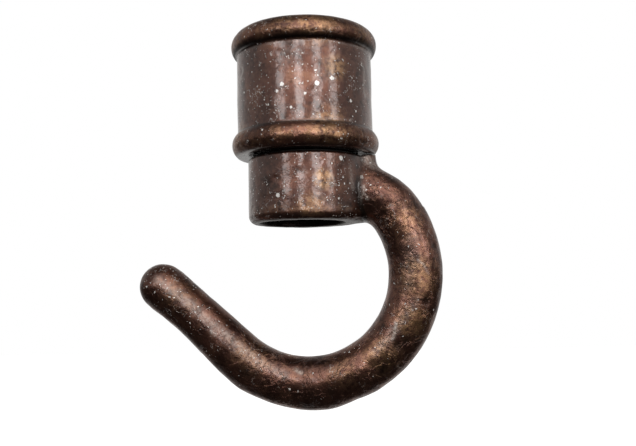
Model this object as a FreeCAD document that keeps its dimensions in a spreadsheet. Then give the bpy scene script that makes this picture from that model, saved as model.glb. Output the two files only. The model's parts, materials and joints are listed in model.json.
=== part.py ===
"""Swivel hook with a threaded pipe socket, as a FreeCAD macro. Millimetres, +Z up.

The origin is on the socket's axis where its thread starts, just inside the chamfered mouth. The socket
screws on to the end of a pipe from below, and everything hangs from it along -Z. The hook lies in the XZ
plane, springs from the +X side of its cup and opens towards -X.

From the top down: the socket's web carries a thrust washer and, on that, the head of a shouldered pivot
bolt. The bolt's journal turns in the web. Its thread goes through the crown of the hook casting, and a
washer, a spring washer and a nut in the hollow of the cup hold the casting against the bolt's shoulder.
"""
import FreeCAD, Part
import math
import os
import re

import Sketcher

# ---------------------------------------------------------------------------------------------------------
# Driving dimensions, all in millimetres except where the name says degrees
# ---------------------------------------------------------------------------------------------------------
DIMENSIONS = {
    # socket: a short barrel with a half-round bead at each end
    "barrel_radius": 13.6,
    "barrel_length": 25.4,
    "bead_radius": 2.9,
    "bead_reach": 14.8,
    "upper_bead_drop": 1.85,
    "lower_bead_cut": 0.6,
    "thread_bore_radius": 9.32,
    "thread_depth": 12.3,
    "mouth_chamfer": 1.2,
    "chamber_radius": 8.4,
    "web_thickness": 5.0,
    # swivel
    "journal_radius": 5.0,
    "running_clearance": 0.05,
    "washer_clearance": 0.2,
    "end_float": 0.1,
    "head_radius": 6.5,
    "head_height": 3.6,
    "head_edge": 0.6,
    "slot_width": 1.6,
    "slot_depth": 1.8,
    "thrust_washer_radius": 7.8,
    "thrust_washer_thickness": 1.0,
    "spacer_radius": 10.6,
    "spacer_thickness": 0.4,
    # fastening under the crown, size M6
    "screw_radius": 3.0,
    "screw_clearance": 0.25,
    "thread_clearance": 0.05,
    "plain_washer_radius": 6.0,
    "plain_washer_thickness": 1.2,
    "spring_washer_radius": 5.4,
    "spring_washer_thickness": 1.5,
    "spring_washer_gap": 0.9,
    "spring_washer_gap_degrees": 28.0,
    "nut_across_flats": 10.0,
    "nut_height": 3.2,
    "nut_chamfer_degrees": 30.0,
    "screw_end": 1.0,
    "screw_chamfer": 0.6,
    # hook casting: a cup, and a round rod that springs from its side
    "cup_radius": 11.6,
    "cup_height": 12.9,
    "cup_bore_radius": 8.6,
    "cup_bore_offset": 0.9,
    "cup_top_edge": 0.4,
    "cup_rim_edge": 1.4,
    "cup_bore_edge": 0.3,
    "crown_thickness": 2.8,
    "bend_radius": 21.3,
    "bend_drop": 47.8,
    "rod_radius": 5.2,
    "shoulder_radius": 10.0,
    "shoulder_degrees": 33.0,
    "bend_end_degrees": 133.0,
    "arm_length": 20.3,
    "tip_radius": 4.6,
    "root_fillet": 1.8,
}

# Levels on the Z axis, and a few sizes that several sub-parts share, as expressions of the dimensions
BARREL_TOP = "mouth_chamfer"
BARREL_BOTTOM = f"{BARREL_TOP} - barrel_length"
WEB_TOP = f"{BARREL_BOTTOM} + web_thickness"
HEAD_UNDER = f"{WEB_TOP} + thrust_washer_thickness"
HEAD_TOP = f"{HEAD_UNDER} + head_height"
CROWN_TOP = f"{BARREL_BOTTOM} - end_float - spacer_thickness"
CROWN_UNDER = f"{CROWN_TOP} - crown_thickness"
CUP_RIM = f"{CROWN_TOP} - cup_height"
SPRING_WASHER_TOP = f"{CROWN_UNDER} - plain_washer_thickness"
NUT_TOP = f"{SPRING_WASHER_TOP} - spring_washer_thickness"
NUT_UNDER = f"{NUT_TOP} - nut_height"
SCREW_TIP = f"{NUT_UNDER} - screw_end"
BEAD_CENTRE = "bead_reach - bead_radius"
BEAD_RISE = "sqrt(bead_radius ^ 2 - (barrel_radius - bead_reach + bead_radius) ^ 2)"
JOURNAL_BORE = "journal_radius + running_clearance"
WASHER_BORE = "journal_radius + washer_clearance"
SCREW_HOLE = "screw_radius + screw_clearance"
NUT_BORE = "screw_radius + thread_clearance"

# How far a cutting tool runs past the faces that it has to clear
OVERRUN = 1.0
ALIASES = re.compile(r"\b(" + "|".join(DIMENSIONS) + r")\b")

document = FreeCAD.newDocument("SwivelHook")


def make_sheet():
    """The spreadsheet that holds the driving dimensions, one alias for each."""
    table = document.addObject("Spreadsheet::Sheet", "Dimensions")
    for row, (alias, number) in enumerate(DIMENSIONS.items(), start=1):
        table.set(f"A{row}", alias)
        table.set(f"B{row}", str(number))
        table.setAlias(f"B{row}", alias)
    document.recompute()
    return table


sheet = make_sheet()


def bound(expression):
    """The expression with each dimension's name pointing at its cell."""
    return ALIASES.sub(r"Dimensions.\1", expression)


def value(expression):
    """What the expression comes to now, as a number."""
    return float(sheet.evalExpression(bound(expression)))


# ---------------------------------------------------------------------------------------------------------
# Helpers for bodies, sketches and features
# ---------------------------------------------------------------------------------------------------------
def new_body(label):
    body = document.addObject("PartDesign::Body", label)
    body.Label = label
    return body


def new_sketch(body, name, plane="XZ_Plane", offset=None, turn=None, about=(0, 0, 1)):
    """A sketch on one of the body's origin planes, moved by offset, three expressions in the plane's own
    directions, and turned by the expression turn, in degrees, about a direction of that plane."""
    sketch = body.newObject("Sketcher::SketchObject", name)
    support = next(f for f in body.Origin.OriginFeatures if f.Role == plane)
    sketch.AttachmentSupport = [(support, "")]
    sketch.MapMode = "FlatFace"
    for letter, expression in zip("xyz", offset or ()):
        sketch.setExpression(f".AttachmentOffset.Base.{letter}", bound(expression))
    if turn:
        sketch.AttachmentOffset = FreeCAD.Placement(
            sketch.AttachmentOffset.Base,
            FreeCAD.Rotation(FreeCAD.Vector(*about), 1.0),
        )
        sketch.setExpression(".AttachmentOffset.Rotation.Angle", bound(turn))
    return sketch


def constrain(sketch, kind, *where, to=None):
    """Adds one constraint, bound to the expression to if it has a size."""
    if to is None:
        return sketch.addConstraint(Sketcher.Constraint(kind, *where))
    index = sketch.addConstraint(Sketcher.Constraint(kind, *where, value(to)))
    sketch.setExpression(f"Constraints[{index}]", bound(to))
    return index


def pin_point(sketch, geometry, end, across, up):
    """Fixes one end of a line or arc at the expressions (across, up) from the sketch's origin."""
    if across == "0":
        constrain(sketch, "PointOnObject", geometry, end, -2)
    else:
        constrain(sketch, "DistanceX", -1, 1, geometry, end, to=across)
    if up == "0":
        constrain(sketch, "PointOnObject", geometry, end, -1)
    else:
        constrain(sketch, "DistanceY", -1, 1, geometry, end, to=up)


def arc_between(start, end, radius, turn):
    """The minor arc from start to end, anticlockwise for turn 1 and clockwise for turn -1."""
    chord = end - start
    reach = math.sqrt(max(radius**2 - (chord.Length / 2) ** 2, 0.0))
    normal = FreeCAD.Vector(-chord.y, chord.x, 0).normalize()
    centre = (start + end) / 2 + normal * reach * turn
    first, last = (start, end) if turn > 0 else (end, start)
    angles = [math.atan2(p.y - centre.y, p.x - centre.x) for p in (first, last)]
    circle = Part.Circle(centre, FreeCAD.Vector(0, 0, 1), radius)
    return Part.ArcOfCircle(circle, *angles)


def draw_outline(sketch, corners, arcs=None):
    """Closes an outline through corners, pairs of expressions. arcs gives, for the side that leaves a
    corner, (radius expression, turn): 1 bends it anticlockwise and -1 clockwise."""
    arcs = arcs or {}
    points = [FreeCAD.Vector(value(x), value(y), 0) for x, y in corners]
    count = len(points)
    ends = {}
    for side in range(count):
        start, end = points[side], points[(side + 1) % count]
        if side in arcs:
            radius, turn = arcs[side]
            sketch.addGeometry(arc_between(start, end, value(radius), turn), False)
            ends[side] = (1, 2) if turn > 0 else (2, 1)
        else:
            sketch.addGeometry(Part.LineSegment(start, end), False)
            ends[side] = (1, 2)
    for side in range(count):
        following = (side + 1) % count
        constrain(sketch, "Coincident", side, ends[side][1], following, ends[following][0])
    for side, (across, up) in enumerate(corners):
        pin_point(sketch, side, ends[side][0], across, up)
    for side, (radius, _) in arcs.items():
        constrain(sketch, "Radius", side, to=radius)


def draw_round(sketch, across, radius):
    """A circle on the sketch's horizontal axis, as two half-circles that meet on that axis."""
    centre = FreeCAD.Vector(value(across), 0, 0)
    circle = Part.Circle(centre, FreeCAD.Vector(0, 0, 1), value(radius))
    upper = sketch.addGeometry(Part.ArcOfCircle(circle, 0, math.pi), False)
    lower = sketch.addGeometry(Part.ArcOfCircle(circle, math.pi, 2 * math.pi), False)
    constrain(sketch, "Coincident", upper, 2, lower, 1)
    constrain(sketch, "Coincident", lower, 2, upper, 1)
    pin_point(sketch, upper, 1, f"{across} + {radius}", "0")
    pin_point(sketch, upper, 2, f"{across} - {radius}", "0")
    for half in (upper, lower):
        constrain(sketch, "PointOnObject", half, 3, -1)


def turn_profile(body, name, sketch, axis="V_Axis", kind="Revolution"):
    """A full turn of the sketch's outline about one of its own axes, added or cut."""
    feature = body.newObject(f"PartDesign::{kind}", name)
    feature.Profile = sketch
    feature.ReferenceAxis = (sketch, [axis])
    feature.Angle = 360.0
    sketch.Visibility = False
    document.recompute()
    return feature


def cut_along(body, name, sketch, depth, reverse=False):
    """A pocket of the sketch's outline, which has to take material away."""
    before = body.Shape.Volume
    pocket = body.newObject("PartDesign::Pocket", name)
    pocket.Profile = sketch
    pocket.Reversed = reverse
    pocket.setExpression("Length", bound(depth))
    document.recompute()
    if body.Shape.Volume > before - 1e-3:
        raise RuntimeError(f"{body.Label}: {name} cut nothing")
    return pocket


def turned_ring(label, outer, inner, bottom, top):
    """A plain ring: a washer or the like."""
    body = new_body(label)
    sketch = new_sketch(body, f"{label}_section")
    draw_outline(sketch, [(inner, bottom), (outer, bottom), (outer, top), (inner, top)])
    turn_profile(body, f"{label}_turning", sketch)
    return body


# ---------------------------------------------------------------------------------------------------------
# Sub-parts
# ---------------------------------------------------------------------------------------------------------
def make_socket():
    """The barrel with its two beads, the bore for the pipe's thread and the web that holds the bolt. The
    upper bead ends in a small step under it, and the lower one is cut flat by the socket's bottom face.
    The bore is drawn at the thread's minor diameter."""
    body = new_body("socket_barrel")
    sketch = new_sketch(body, "socket_section")
    step_top = f"{BARREL_TOP} - bead_radius - upper_bead_drop"
    step_reach = f"{BEAD_CENTRE} + sqrt(bead_radius ^ 2 - upper_bead_drop ^ 2)"
    cut_reach = f"{BEAD_CENTRE} + sqrt(bead_radius ^ 2 - (bead_radius - lower_bead_cut) ^ 2)"
    crease_bottom = f"{BARREL_BOTTOM} - lower_bead_cut + bead_radius + {BEAD_RISE}"
    corners = [
        (JOURNAL_BORE, BARREL_BOTTOM),
        (cut_reach, BARREL_BOTTOM),
        ("barrel_radius", crease_bottom),
        ("barrel_radius", step_top),
        (step_reach, step_top),
        (BEAD_CENTRE, BARREL_TOP),
        ("thread_bore_radius + mouth_chamfer", BARREL_TOP),
        ("thread_bore_radius", "0"),
        ("thread_bore_radius", "-thread_depth"),
        ("chamber_radius", "-thread_depth"),
        ("chamber_radius", WEB_TOP),
        (JOURNAL_BORE, WEB_TOP),
    ]
    draw_outline(sketch, corners, arcs={1: ("bead_radius", 1), 4: ("bead_radius", 1)})
    turn_profile(body, "socket_turning", sketch)
    return body


def make_pivot_bolt():
    """A shouldered bolt: slotted head, journal and M6 screw, whose thread is drawn as a plain cylinder."""
    body = new_body("pivot_bolt")
    sketch = new_sketch(body, "bolt_section")
    corners = [
        ("0", SCREW_TIP),
        ("screw_radius - screw_chamfer", SCREW_TIP),
        ("screw_radius", f"{SCREW_TIP} + screw_chamfer"),
        ("screw_radius", CROWN_TOP),
        ("journal_radius", CROWN_TOP),
        ("journal_radius", HEAD_UNDER),
        ("head_radius", HEAD_UNDER),
        ("head_radius", f"{HEAD_TOP} - head_edge"),
        ("head_radius - head_edge", HEAD_TOP),
        ("0", HEAD_TOP),
    ]
    draw_outline(sketch, corners, arcs={7: ("head_edge", 1)})
    turn_profile(body, "bolt_turning", sketch)
    slot = new_sketch(body, "slot_outline", plane="XY_Plane", offset=("0", "0", HEAD_TOP))
    half = "slot_width / 2"
    reach = f"head_radius + {OVERRUN}"
    draw_outline(
        slot, [(f"-({reach})", f"-{half}"), (reach, f"-{half}"), (reach, half), (f"-({reach})", half)]
    )
    cut_along(body, "driver_slot", slot, "slot_depth")
    return body


def make_spring_washer():
    """A flat spring washer with one slanting slit."""
    body = turned_ring(
        "spring_washer", "spring_washer_radius", SCREW_HOLE, NUT_TOP, SPRING_WASHER_TOP
    )
    slit = new_sketch(
        body, "slit_outline", offset=("0", f"({SPRING_WASHER_TOP} + {NUT_TOP}) / 2", "0"),
        turn="-spring_washer_gap_degrees",
    )
    half = "spring_washer_gap / 2"
    reach = f"spring_washer_thickness + {OVERRUN}"
    draw_outline(
        slit, [(f"-{half}", f"-({reach})"), (half, f"-({reach})"), (half, reach), (f"-{half}", reach)]
    )
    cut_along(body, "slit", slit, f"spring_washer_radius + {OVERRUN}")
    return body


def make_nut():
    """A thin hexagon nut with its corners chamfered on both faces, its thread drawn as a plain bore."""
    body = new_body("hex_nut")
    hexagon = new_sketch(body, "nut_outline", plane="XY_Plane", offset=("0", "0", NUT_UNDER))
    half = "nut_across_flats / 2"
    corner = "nut_across_flats / sqrt(3)"
    draw_outline(
        hexagon,
        [
            (corner, "0"),
            (f"({corner}) / 2", half),
            (f"-({corner}) / 2", half),
            (f"-({corner})", "0"),
            (f"-({corner}) / 2", f"-{half}"),
            (f"({corner}) / 2", f"-{half}"),
        ],
    )
    pad = body.newObject("PartDesign::Pad", "nut_blank")
    pad.Profile = hexagon
    pad.setExpression("Length", bound("nut_height"))
    document.recompute()
    bore = new_sketch(body, "nut_bore_outline")
    draw_outline(
        bore,
        [
            ("0", f"{NUT_UNDER} - {OVERRUN}"),
            (NUT_BORE, f"{NUT_UNDER} - {OVERRUN}"),
            (NUT_BORE, f"{NUT_TOP} + {OVERRUN}"),
            ("0", f"{NUT_TOP} + {OVERRUN}"),
        ],
    )
    turn_profile(body, "nut_bore", bore, kind="Groove")
    fall = f"(({corner}) - {half} + {OVERRUN}) * tan(nut_chamfer_degrees * 1deg)"
    outside = f"({corner}) + {OVERRUN}"
    for name, face, sign in (("lower", NUT_UNDER, 1), ("upper", NUT_TOP, -1)):
        edge = new_sketch(body, f"nut_{name}_chamfer_outline")
        inward = f"{face} {'+' if sign > 0 else '-'} {fall}"
        draw_outline(edge, [(half, face), (outside, face), (outside, inward)])
        turn_profile(body, f"nut_{name}_chamfer", edge, kind="Groove")
    return body


def add_cup_blank(body):
    """The cup's solid outside, with rounded top and rim edges."""
    sketch = new_sketch(body, "cup_section")
    corners = [
        ("0", CUP_RIM),
        ("cup_radius - cup_rim_edge", CUP_RIM),
        ("cup_radius", f"{CUP_RIM} + cup_rim_edge"),
        ("cup_radius", f"{CROWN_TOP} - cup_top_edge"),
        ("cup_radius - cup_top_edge", CROWN_TOP),
        ("0", CROWN_TOP),
    ]
    draw_outline(sketch, corners, arcs={1: ("cup_rim_edge", 1), 3: ("cup_top_edge", 1)})
    turn_profile(body, "cup_turning", sketch)


def sweep_rod(body, name, centre, radius, start, sweep, reverse=False):
    """Carries the rod's round section about a centre in the XZ plane. The section stands at the angle
    start, measured up from +X, and sweeps downwards, or upwards if reverse is set."""
    offset = (centre[0], "0", centre[1])
    sketch = new_sketch(body, f"{name}_section", "XY_Plane", offset, f"-({start})", about=(0, 1, 0))
    draw_round(sketch, radius, "rod_radius")
    rod = body.newObject("PartDesign::Revolution", name)
    rod.Profile = sketch
    rod.ReferenceAxis = (sketch, ["V_Axis"])
    rod.Reversed = reverse
    rod.setExpression("Angle", bound(sweep))
    document.recompute()


def add_bend(body):
    """The rod: a tight shoulder that leaves the cup level, and the wide bend that follows it."""
    sweep_rod(
        body, "bend", ("0", "-bend_drop"), "bend_radius", "shoulder_degrees",
        "shoulder_degrees + bend_end_degrees",
    )
    inset = "(bend_radius - shoulder_radius)"
    centre = (
        f"{inset} * cos(shoulder_degrees * 1deg)",
        f"-bend_drop + {inset} * sin(shoulder_degrees * 1deg)",
    )
    sweep_rod(
        body, "shoulder", centre, "shoulder_radius", "shoulder_degrees", "90 - shoulder_degrees", True
    )


def add_arm(body):
    """The straight arm and its round tip, tapered, along the tangent where the bend ends."""
    turn = "-bend_end_degrees"
    across = f"bend_radius * cos({turn} * 1deg)"
    up = f"-bend_drop + bend_radius * sin({turn} * 1deg)"
    sketch = new_sketch(body, "arm_section", offset=(across, up, "0"), turn=f"{turn} - 90")
    corners = [
        ("0", "0"),
        ("arm_length + tip_radius", "0"),
        ("arm_length", "tip_radius"),
        ("0", "rod_radius"),
    ]
    draw_outline(sketch, corners, arcs={1: ("tip_radius", 1)})
    turn_profile(body, "arm", sketch, axis="H_Axis")


def root_edges(shape):
    """The edges where the rod comes out of the cup's side: upright ones on the cup's outside, off the
    plane of the hook."""
    cup = value("cup_radius")
    inner = cup - value("cup_rim_edge")
    found = []
    for number, edge in enumerate(shape.Edges, start=1):
        if edge.Degenerated or edge.BoundBox.ZLength < 0.5:
            continue
        points = edge.discretize(9)[1:-1]
        upright = all(inner < math.hypot(p.x, p.y) < cup + 0.01 for p in points)
        if upright and all(p.x > 0 and abs(p.y) > 0.01 for p in points):
            found.append(f"Edge{number}")
    return found


def make_hook_casting():
    """The cup and the hook in one casting, with a hole for the screw in its crown. The hollow under the
    crown stands off the axis, away from the rod, so the wall is thicker where the rod springs."""
    body = new_body("hook_casting")
    add_cup_blank(body)
    add_bend(body)
    add_arm(body)
    unblended = body.Tip
    edges = root_edges(unblended.Shape)
    if not edges:
        raise RuntimeError("hook_casting: no edge found where the rod meets the cup")
    fillet = body.newObject("PartDesign::Fillet", "root_blend")
    fillet.Base = (unblended, edges)
    fillet.setExpression("Radius", bound("root_fillet"))
    document.recompute()
    hollow = new_sketch(body, "hollow_section", offset=("-cup_bore_offset", "0", "0"))
    corners = [
        ("0", f"{CUP_RIM} - {OVERRUN}"),
        ("cup_bore_radius + cup_bore_edge", f"{CUP_RIM} - {OVERRUN}"),
        ("cup_bore_radius + cup_bore_edge", CUP_RIM),
        ("cup_bore_radius", f"{CUP_RIM} + cup_bore_edge"),
        ("cup_bore_radius", CROWN_UNDER),
        ("0", CROWN_UNDER),
    ]
    draw_outline(hollow, corners)
    turn_profile(body, "hollow", hollow, kind="Groove")
    screw_hole = new_sketch(body, "screw_hole_section")
    above, below = f"{CROWN_TOP} + {OVERRUN}", f"{CROWN_UNDER} - {OVERRUN}"
    draw_outline(screw_hole, [("0", below), (SCREW_HOLE, below), (SCREW_HOLE, above), ("0", above)])
    turn_profile(body, "screw_hole", screw_hole, kind="Groove")
    return body


def make_parts():
    return [
        make_socket(),
        make_pivot_bolt(),
        turned_ring("thrust_washer", "thrust_washer_radius", WASHER_BORE, WEB_TOP, HEAD_UNDER),
        turned_ring(
            "spacer_washer", "spacer_radius", WASHER_BORE, CROWN_TOP, f"{CROWN_TOP} + spacer_thickness"
        ),
        make_hook_casting(),
        turned_ring(
            "plain_washer", "plain_washer_radius", SCREW_HOLE, SPRING_WASHER_TOP, CROWN_UNDER
        ),
        make_spring_washer(),
        make_nut(),
    ]


def check_and_write(bodies):
    """Stops if anything failed, and otherwise writes one STEP file for each sub-part."""
    document.recompute()
    for item in document.Objects:
        if {"Invalid", "Error"} & set(item.State):
            raise RuntimeError(f"{item.Name} is {item.State}")
    for body in bodies:
        if body.Shape.isNull() or not body.Shape.isValid():
            raise RuntimeError(f"{body.Label} has no valid shape")
    os.makedirs("parts", exist_ok=True)
    for body in bodies:
        body.Shape.exportStep(f"parts/{body.Label}.step")
        print(f"{body.Label}: {len(body.Shape.Solids)} solid, {body.Shape.Volume:.1f} mm3")


check_and_write(make_parts())
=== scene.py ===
"""Looks for the swivel hook: the socket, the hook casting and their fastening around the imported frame."""
import json
import math

import bpy
import numpy as np
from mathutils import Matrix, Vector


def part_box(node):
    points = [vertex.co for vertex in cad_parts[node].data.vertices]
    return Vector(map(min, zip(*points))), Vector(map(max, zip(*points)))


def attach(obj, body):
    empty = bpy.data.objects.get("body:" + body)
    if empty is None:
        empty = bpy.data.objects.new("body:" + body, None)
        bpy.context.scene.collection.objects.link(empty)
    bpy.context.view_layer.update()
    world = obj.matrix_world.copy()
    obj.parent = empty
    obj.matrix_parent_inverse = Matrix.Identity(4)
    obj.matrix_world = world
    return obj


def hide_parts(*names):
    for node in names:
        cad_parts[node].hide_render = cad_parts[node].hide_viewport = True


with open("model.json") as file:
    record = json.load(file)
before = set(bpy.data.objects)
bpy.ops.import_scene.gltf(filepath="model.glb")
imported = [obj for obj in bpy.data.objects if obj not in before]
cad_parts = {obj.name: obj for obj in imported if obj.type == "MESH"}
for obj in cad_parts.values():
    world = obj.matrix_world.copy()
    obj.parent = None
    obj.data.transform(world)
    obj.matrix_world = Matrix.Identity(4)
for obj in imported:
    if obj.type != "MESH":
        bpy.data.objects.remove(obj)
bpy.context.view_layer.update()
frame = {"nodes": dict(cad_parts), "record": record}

import openvdb
from mathutils import Matrix, Vector

MM = 0.001
SEED = 20240
# How fine the meshes are: columns round the axis, and lattice cells in millimetres
SOCKET_COLUMNS = 232
WASHER_COLUMNS = 128
HOOK_CELL = 0.25
FASTENER_CELL = 0.13

# ---------------------------------------------------------------------------------------------------------
# Places and sizes in millimetres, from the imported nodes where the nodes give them
# ---------------------------------------------------------------------------------------------------------


def node_box(name):
    low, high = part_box(name)
    return np.array(low) / MM, np.array(high) / MM


SOCKET_LOW, SOCKET_HIGH = node_box("socket_barrel")
HOOK_LOW, HOOK_HIGH = node_box("hook_casting")
BOLT_LOW, BOLT_HIGH = node_box("pivot_bolt")

BEAD_REACH = SOCKET_HIGH[0]
BARREL_TOP = SOCKET_HIGH[2]
BARREL_BOTTOM = SOCKET_LOW[2]
BEAD_RADIUS = 2.95
BARREL_RADIUS = 13.65
TOP_CREASE = 1.85
LOWER_CUT = 0.65
MOUTH_CHAMFER = 1.2
THREAD_MINOR = 9.32
THREAD_MAJOR = 10.48
THREAD_PITCH = 1.814
THREAD_DEPTH = 12.3
CHAMBER_RADIUS = 8.4
WEB_TOP = BARREL_BOTTOM + 5.0
WEB_HOLE = 5.05

CROWN_TOP = HOOK_HIGH[2]
CROWN_THICKNESS = 2.8
CUP_HEIGHT = 12.9
CUP_BORE_OFFSET = 0.9
CUP_RIM = CROWN_TOP - CUP_HEIGHT
CUP_RADIUS = 11.6
CUP_BORE = 8.6
CUP_BORE_EDGE = 0.5
CUP_BORE_CORNER = 0.9
RIM_EDGE = 1.45
TOP_EDGE = 0.4
SCREW_HOLE = 3.25

BEND_RADIUS = 21.3
BEND_Z = HOOK_LOW[2] + BEND_RADIUS + 5.2
SHOULDER_RADIUS = 10.2
SHOULDER_ANGLE = 33.0
BEND_END = 133.2
ARM_LENGTH = 20.3
ARM_BOW = 0.36
SHOULDER_ROD = 5.25
BEND_ROD = (5.25, 5.1, 4.97)
ARM_ROD = (4.97, 4.72, 4.52, 4.58, 4.72, 4.62)
ROOT_BLEND = 3.0
NECK_X = 12.25
NECK_RADIUS = 1.85
NECK_DEPTH = 4.0
NECK_BLEND = 3.2
BEAD_CLEARANCE = 0.22

# Golden patches, lacquer rubbed through to metal and painted highlights: place, reach and amount from 0 to 1
SOCKET_RUBS_AND_HIGHLIGHTS = (
    ((7.3, -11.5, -9.0), 2.3, 0.75), ((4.2, -14.2, -0.6), 4.2, 0.6), ((-2.0, -14.6, -0.8), 2.4, 0.4),
    ((6.5, -13.2, -20.8), 4.0, 0.6), ((-12.5, -7.0, -20.5), 2.6, 0.5), ((12.8, -6.6, -1.2), 3.0, 0.5),
)
HOOK_RUBS_AND_HIGHLIGHTS = (
    ((4.5, -10.7, -30.2), 1.9, 0.85), ((2.0, -11.4, -35.6), 2.6, 0.5), ((19.5, -4.0, -38.0), 3.5, 0.3),
    ((22.0, -4.5, -49.0), 4.0, 0.45), ((20.5, -4.3, -57.5), 3.2, 0.7), ((14.5, -4.5, -64.0), 3.5, 0.5),
    ((7.0, -4.2, -67.0), 3.0, 0.25), ((-11.0, -4.2, -63.5), 4.0, 0.25), ((-25.0, -4.0, -51.5), 4.0, 0.15),
)
# Larger chips in the lacquer: place and size
SOCKET_CHIPS = (
    ((-2.8, -13.31, -12.39), 0.42), ((-3.8, -13.06, -13.62), 0.3), ((3.77, -13.07, -12.43), 0.5),
    ((6.53, -11.93, -11.3), 0.42), ((1.53, -13.51, -14.35), 0.27), ((9.88, -9.35, -15.23), 0.33),
    ((-1.15, -13.55, -16.9), 0.27), ((-5.6, -12.4, -16.0), 0.2), ((10.7, -8.4, -17.0), 0.22),
)
HOOK_CHIPS = (
    ((-4.26, -10.79, -33.01), 0.42), ((7.67, -8.7, -26.04), 0.45), ((11.3, -4.9, -29.3), 0.42),
    ((-3.4, -4.94, -69.81), 0.24), ((-1.86, -4.9, -70.2), 0.2), ((-22.99, -4.41, -56.91), 0.2),
)
# Pale films, scars, painted highlights and a painted reflection: corners of a line, width and amount
SOCKET_FILM = (
    (((-11.6, -7.2, -6.8), (-11.2, -7.8, -8.0), (-11.9, -6.7, -9.0), (-11.3, -7.6, -9.6)), 0.3, 0.7),
    (((12.0, -6.5, -7.0), (12.5, -5.5, -8.4), (12.3, -5.9, -12.0), (12.7, -5.0, -13.6)), 0.3, 0.7),
)
HOOK_FILM_AND_HIGHLIGHTS = (
    (((11.78, -5.2, -31.1), (11.68, -5.2, -32.65), (11.2, -5.1, -33.4), (11.0, -4.7, -34.4)), 0.24, 0.9),
    (((11.68, -5.2, -32.65), (12.2, -5.1, -33.0), (12.4, -5.0, -33.6)), 0.24, 0.9),
    (((21.74, -5.18, -45.69), (22.86, -4.95, -46.67), (23.58, -4.67, -48.21)), 0.22, 0.6),
    # a painted reflection on the web under the bead, with pale filler residue
    (((12.4, -3.4, -24.8), (13.6, -2.6, -26.4)), 1.3, 0.8),
    (((9.4, -7.0, -27.5), (9.6, -6.6, -31.5)), 0.5, 0.5),
    (((17.2, -4.9, -57.6), (17.0, -5.0, -59.1), (16.5, -5.1, -60.6)), 0.34, 0.9),
    (((-2.3, -4.2, -66.2), (-1.2, -4.5, -66.8)), 0.4, 0.6),
    (((-18.6, -4.7, -58.7), (-18.1, -4.7, -59.3)), 0.35, 0.6),
    # painted highlights along the rod, from the arm round the bottom to the right of the bend
    (((-29.6, -4.4, -48.3), (-24.6, -4.3, -51.8)), 1.0, 0.28),
    (((-24.6, -4.3, -51.8), (-21.0, -4.3, -55.0), (-12.5, -4.4, -62.1), (-8.8, -4.5, -64.8)), 0.9, 0.34),
    (((-8.8, -4.5, -64.8), (-4.3, -4.8, -67.2)), 0.8, 0.24),
    (((21.1, -5.1, -53.3), (18.7, -5.1, -57.0), (16.4, -5.1, -60.0), (13.1, -5.0, -63.0)), 0.8, 0.26),
    (((20.3, -5.2, -41.8), (20.4, -5.1, -46.0), (19.9, -5.0, -50.2)), 1.5, 0.14),
)
# A line of painted shade along the rod, below its painted highlight: corners, width and amount
HOOK_PAINTED_SHADE_LINES = (
    (((-25.7, -4.6, -53.0), (-22.1, -4.6, -56.2), (-13.6, -4.9, -63.3), (-9.9, -4.9, -66.2)), 1.1, 0.42),
)
# Where the surface is painted darker: place, reach and amount
HOOK_DARKS = (
    ((2.0, -4.0, -69.0), 5.5, 0.4), ((12.0, -4.6, -34.5), 2.2, 0.6), ((22.0, -4.0, -61.0), 2.5, 0.3),
)
# Dark pockets in the cast rod: place, reach and depth
POCKETS = (
    ((23.22, -4.44, -53.73), 1.0, 0.22), ((17.45, -4.97, -62.13), 1.2, 0.24),
    ((14.48, -4.56, -66.45), 1.5, 0.2), ((18.9, -4.6, -61.0), 0.9, 0.16), ((25.0, -3.2, -43.0), 0.7, 0.16),
    ((4.5, -4.9, -70.5), 1.6, 0.15), ((-12.0, -4.6, -66.5), 1.4, 0.12),
)

HEAD_RADIUS = 6.5
HEAD_HEIGHT = 3.6
HEAD_EDGE = 0.6
SLOT_WIDTH = 1.6
SLOT_DEPTH = 1.8
JOURNAL_RADIUS = 5.0
SCREW_PITCH = 1.0
SCREW_MINOR = 2.5
SCREW_MAJOR = 2.97
NUT_MINOR = 2.55
NUT_MAJOR = 3.05
NUT_MOUTH = 3.3
NUT_FLATS = 10.0
WASHER_BORES = {"thrust_washer": 5.2, "spacer_washer": 5.2, "plain_washer": 3.2}


# ---------------------------------------------------------------------------------------------------------
# Smooth noise that is the same on every run
# ---------------------------------------------------------------------------------------------------------
def value_noise(points, size, seed):
    """Smooth noise from -1 to 1 at points, with features about size across."""
    lattice = np.random.RandomState(seed).uniform(-1, 1, (32, 32, 32)).astype(np.float32)
    scaled = points / size + 1000.0
    whole = np.floor(scaled).astype(np.int64)
    part = (scaled - whole).astype(np.float32)
    part = part * part * (3 - 2 * part)
    total = np.zeros(len(points), np.float32)
    for dx in (0, 1):
        for dy in (0, 1):
            for dz in (0, 1):
                index = (whole + (dx, dy, dz)) % 32
                weight = (
                    (part[:, 0] if dx else 1 - part[:, 0])
                    * (part[:, 1] if dy else 1 - part[:, 1])
                    * (part[:, 2] if dz else 1 - part[:, 2])
                )
                total += weight * lattice[index[:, 0], index[:, 1], index[:, 2]]
    return total


def cast_surface(points, seed):
    """How far a cast and hand-rubbed surface stands off its true form, in millimetres."""
    height = 0.055 * value_noise(points, 7.0, seed)
    height += 0.028 * value_noise(points, 2.6, seed + 1)
    height += 0.014 * value_noise(points, 1.1, seed + 2)
    return height


def dimples(points, seed, count, reach, depth):
    """Soft round dents with centres picked from the points themselves."""
    random = np.random.RandomState(seed)
    height = np.zeros(len(points), np.float32)
    for index in random.choice(len(points), count, replace=False):
        size = random.uniform(*reach)
        deep = random.uniform(*depth)
        centre = points[index]
        near = np.where(np.abs(points - centre).max(1) < 2.2 * size)[0]
        away = ((points[near] - centre) ** 2).sum(1) / size**2
        height[near] -= deep * np.exp(-2.0 * away)
    return height


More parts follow.
